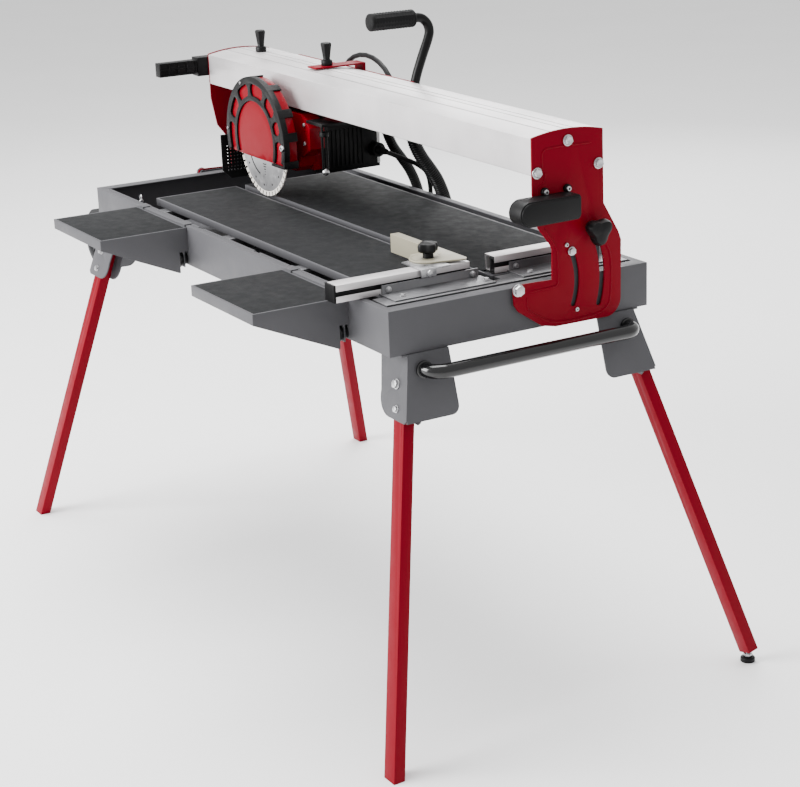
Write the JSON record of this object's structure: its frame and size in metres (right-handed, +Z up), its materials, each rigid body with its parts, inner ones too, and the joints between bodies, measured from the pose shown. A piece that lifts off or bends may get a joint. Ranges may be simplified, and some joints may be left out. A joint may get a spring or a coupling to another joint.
{
  "type": "wet tile saw",
  "caption": "Radial wet saw on a folding stand: water tub with work tables, tilting guide rail, sliding and plunging saw head, side tables, angle stop, handle and wheels.",
  "frame": {"origin": "on the floor, below the middle of the whole saw", "axes": "+X along the guide rail towards the end with the carry handle, +Y from the side tables to the back, +Z up"},
  "size_m": [1.4876, 0.827, 1.078],
  "materials": {
    "grey_coat": "satin powder coat",
    "red_coat": "satin powder coat",
    "red_gloss": "gloss paint",
    "rail_alloy": "satin anodised",
    "zinc_steel": "bright zinc plate",
    "dark_steel": "dark coat",
    "stop_cream": "pale zinc yellow",
    "table_rubber": "matte fine grain",
    "black_plastic": "fine texture",
    "black_rubber": "matte",
    "hose_plastic": "semi-gloss corrugated",
    "black_coat": "satin black",
    "switch_plastic": "gloss",
    "blade_steel": "radially brushed",
    "wheel_plastic": "matte"
  },
  "bodies": {
    "base": {"tub": "grey_coat", "cross_members": "zinc_steel", "front_table": "grey_coat", "rear_table": "grey_coat", "table_mats": "table_rubber", "leg_brackets": "grey_coat", "carry_handle": "black_coat", "wheel_axle": "dark_steel", "plug_chain": "zinc_steel", "fence_rails": "rail_alloy", "fence_caps": "black_plastic", "fence_brackets": "dark_steel", "tilt_brackets": "dark_steel", "frame_bolts": "zinc_steel"},
    "plug": {"drain_plug": "black_rubber"},
    "rail": {"guide_rail": "rail_alloy", "end_plate_near": "red_coat", "end_plate_far": "red_coat", "rail_bolts": "zinc_steel", "laser_unit": "black_plastic", "cable_arm": "black_plastic"},
    "rail_lock": {"rail_knob": "black_plastic"},
    "tilt_lock_near": {"tilt_knob_near": "black_plastic"},
    "tilt_lock_far": {"tilt_knob_far": "black_plastic"},
    "carriage_body": {"carriage": "red_coat", "slide_shoes": "black_plastic", "depth_rods": "zinc_steel", "terminal_box": "black_plastic", "water_hose": "hose_plastic", "power_conduit": "hose_plastic", "hose_fittings": "black_plastic"},
    "carriage_lock": {"carriage_knob": "black_plastic"},
    "switch_button": {"power_switch": "switch_plastic"},
    "head": {"motor_housing": "black_coat", "gear_housing": "red_gloss", "blade_guard": "red_gloss", "guard_cage": "black_plastic", "splash_flap": "black_rubber", "handle_tube": "black_coat", "handle_grip": "black_rubber", "motor_lead": "black_rubber", "lead_plug": "black_plastic"},
    "blade_body": {"blade": "blade_steel", "spindle": "zinc_steel"},
    "table_far": {"side_table_far": "grey_coat", "side_mat_far": "table_rubber"},
    "table_near": {"side_table_near": "grey_coat", "side_mat_near": "table_rubber"},
    "screw_far": {"side_knob_far": "black_plastic"},
    "screw_near": {"side_knob_near": "black_plastic"},
    "stop_base": {"stop_slide": "zinc_steel"},
    "stop_fence": {"stop_arm": "stop_cream"},
    "stop_lock": {"stop_knob": "black_plastic"},
    "leg_nl": {"leg_near_left": "red_coat"},
    "leg_nr": {"leg_near_right": "red_coat"},
    "leg_fl": {"leg_far_left": "red_coat"},
    "leg_fr": {"leg_far_right": "red_coat"},
    "foot": {"levelling_foot": "black_plastic"},
    "wheel_l": {"wheel_left": "wheel_plastic"},
    "wheel_r": {"wheel_right": "wheel_plastic"}
  },
  "joints": [
    {"name": "rail_tilt", "type": "hinge", "parent": "base", "child": "rail", "pos_m": [-0.0168, -0.0039, 0.7065], "axis": [1, 0, 0], "range_deg": [0, 45]},
    {"name": "carriage_slide", "type": "slide", "parent": "rail", "child": "carriage_body", "axis": [1, 0, 0], "range_m": [-0.1, 0.6]},
    {"name": "head_plunge", "type": "hinge", "parent": "carriage_body", "child": "head", "pos_m": [-0.4468, 0.0115, 0.862], "axis": [0, 1, 0], "range_deg": [0, 3], "stiffness_Nm_per_rad": 120, "springref_deg": -20.05},
    {"name": "blade_spin", "type": "hinge", "parent": "head", "child": "blade_body", "pos_m": [-0.3125, -0.0039, 0.8097], "axis": [0, 1, 0], "continuous": true},
    {"name": "switch_press", "type": "slide", "parent": "carriage_body", "child": "switch_button", "axis": [0, -1, 0], "range_m": [0, 0.002], "stiffness_N_per_m": 400},
    {"name": "rail_knob_turn", "type": "hinge", "parent": "rail", "child": "rail_lock", "pos_m": [-0.5218, 0.1065, 0.95], "axis": [0, 0, 1], "range_deg": [0, 360]},
    {"name": "carriage_knob_turn", "type": "hinge", "parent": "carriage_body", "child": "carriage_lock", "pos_m": [-0.2423, 0.1065, 0.96], "axis": [0, 0, 1], "range_deg": [0, 360]},
    {"name": "tilt_knob_near_turn", "type": "hinge", "parent": "base", "child": "tilt_lock_near", "pos_m": [0.5832, 0.14374, 0.78666], "axis": [1, 0, 0], "range_deg": [0, 360]},
    {"name": "tilt_knob_far_turn", "type": "hinge", "parent": "base", "child": "tilt_lock_far", "pos_m": [-0.6168, 0.14374, 0.78666], "axis": [-1, 0, 0], "range_deg": [0, 360]},
    {"name": "drain_plug_pull", "type": "slide", "parent": "base", "child": "plug", "axis": [0, 0, 1], "range_m": [0, 0.03]},
    {"name": "side_table_far_lift", "type": "slide", "parent": "base", "child": "table_far", "axis": [0, 0, 1], "range_m": [0, 0.03]},
    {"name": "side_table_near_lift", "type": "slide", "parent": "base", "child": "table_near", "axis": [0, 0, 1], "range_m": [0, 0.03]},
    {"name": "side_knob_far_turn", "type": "hinge", "parent": "table_far", "child": "screw_far", "pos_m": [-0.1858, -0.2485, 0.645], "axis": [0, -1, 0], "range_deg": [0, 360]},
    {"name": "side_knob_near_turn", "type": "hinge", "parent": "table_near", "child": "screw_near", "pos_m": [0.4252, -0.2485, 0.645], "axis": [0, -1, 0], "range_deg": [0, 360]},
    {"name": "stop_slide_along_fence", "type": "slide", "parent": "base", "child": "stop_base", "axis": [0, -1, 0], "range_m": [0, 0.04]},
    {"name": "stop_angle", "type": "hinge", "parent": "stop_base", "child": "stop_fence", "pos_m": [0.4302, -0.0835, 0.743], "axis": [0, 0, 1], "range_deg": [0, 30]},
    {"name": "stop_knob_turn", "type": "hinge", "parent": "stop_base", "child": "stop_lock", "pos_m": [0.4302, -0.0835, 0.755], "axis": [0, 0, 1], "range_deg": [0, 360]},
    {"name": "leg_fold_near_left", "type": "hinge", "parent": "base", "child": "leg_nl", "pos_m": [0.55378, -0.20839, 0.581], "axis": [0, 0.9697, -0.2444], "range_deg": [0, 106.2]},
    {"name": "leg_fold_near_right", "type": "hinge", "parent": "base", "child": "leg_nr", "pos_m": [0.55378, 0.23139, 0.581], "axis": [0, 0.9697, 0.2444], "range_deg": [0, 106.2]},
    {"name": "leg_fold_far_left", "type": "hinge", "parent": "base", "child": "leg_fl", "pos_m": [-0.57526, -0.23727, 0.581], "axis": [0, -0.971, 0.2389], "range_deg": [0, 103.1]},
    {"name": "leg_fold_far_right", "type": "hinge", "parent": "base", "child": "leg_fr", "pos_m": [-0.57526, 0.26027, 0.581], "axis": [0, -0.971, -0.2389], "range_deg": [0, 103.1]},
    {"name": "levelling_foot_turn", "type": "hinge", "parent": "leg_nr", "child": "foot", "pos_m": [0.72003, 0.3715, 0.01], "axis": [0, 0, 1], "range_deg": [0, 360]},
    {"name": "wheel_left_spin", "type": "hinge", "parent": "base", "child": "wheel_l", "pos_m": [-0.6818, -0.2005, 0.583], "axis": [0, 1, 0], "continuous": true},
    {"name": "wheel_right_spin", "type": "hinge", "parent": "base", "child": "wheel_r", "pos_m": [-0.6818, 0.2235, 0.583], "axis": [0, 1, 0], "continuous": true}
  ]
}
